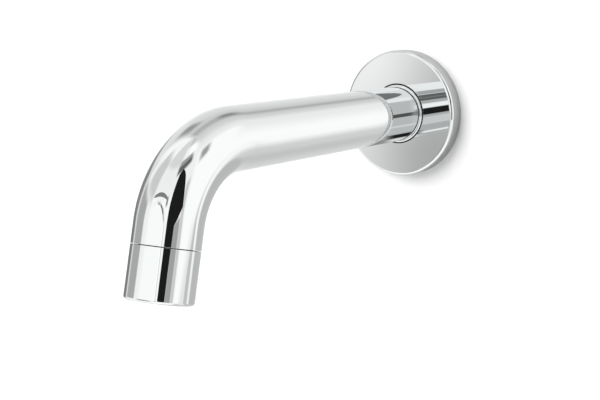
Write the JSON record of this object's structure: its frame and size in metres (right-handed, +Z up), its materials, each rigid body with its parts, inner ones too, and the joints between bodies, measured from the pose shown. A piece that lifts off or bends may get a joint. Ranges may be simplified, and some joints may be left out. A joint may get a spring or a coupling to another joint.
{
  "type": "wall-mounted basin spout",
  "caption": "Round bent wall spout for a basin, with a cover flange, a threaded wall nipple and a screwed nozzle with an aerator.",
  "frame": {"origin": "on the wall's face, at the axis of the inlet", "axes": "+Z up, +Y into the wall along the inlet's axis, so the spout reaches out along -Y; +X to the right seen from the room"},
  "size_m": [0.06, 0.2006, 0.0882],
  "materials": {
    "polished_chrome": "polished",
    "turned_brass": "satin",
    "stainless_steel": "satin",
    "black_rubber": "matte",
    "grey_foam": "matte",
    "red_fibre": "matte",
    "white_acetal": "satin"
  },
  "bodies": {
    "root": {"spout_tube": "polished_chrome", "inlet_bush": "polished_chrome", "grub_screw": "stainless_steel", "wall_flange": "polished_chrome", "flange_seal": "black_rubber", "wall_gasket": "grey_foam", "wall_nipple": "turned_brass", "thread_washer": "red_fibre", "rear_oring": "black_rubber", "front_oring": "black_rubber", "outlet_spigot": "turned_brass", "sleeve_oring": "black_rubber", "nozzle_sleeve": "polished_chrome", "aerator_washer": "black_rubber", "aerator_housing": "white_acetal", "filter_screen": "white_acetal", "flow_regulator": "white_acetal", "regulator_oring": "black_rubber", "jet_plate": "white_acetal", "upper_mesh": "stainless_steel", "mesh_spacer": "white_acetal", "lower_mesh": "stainless_steel", "outlet_grille": "white_acetal"}
  },
  "joints": []
}
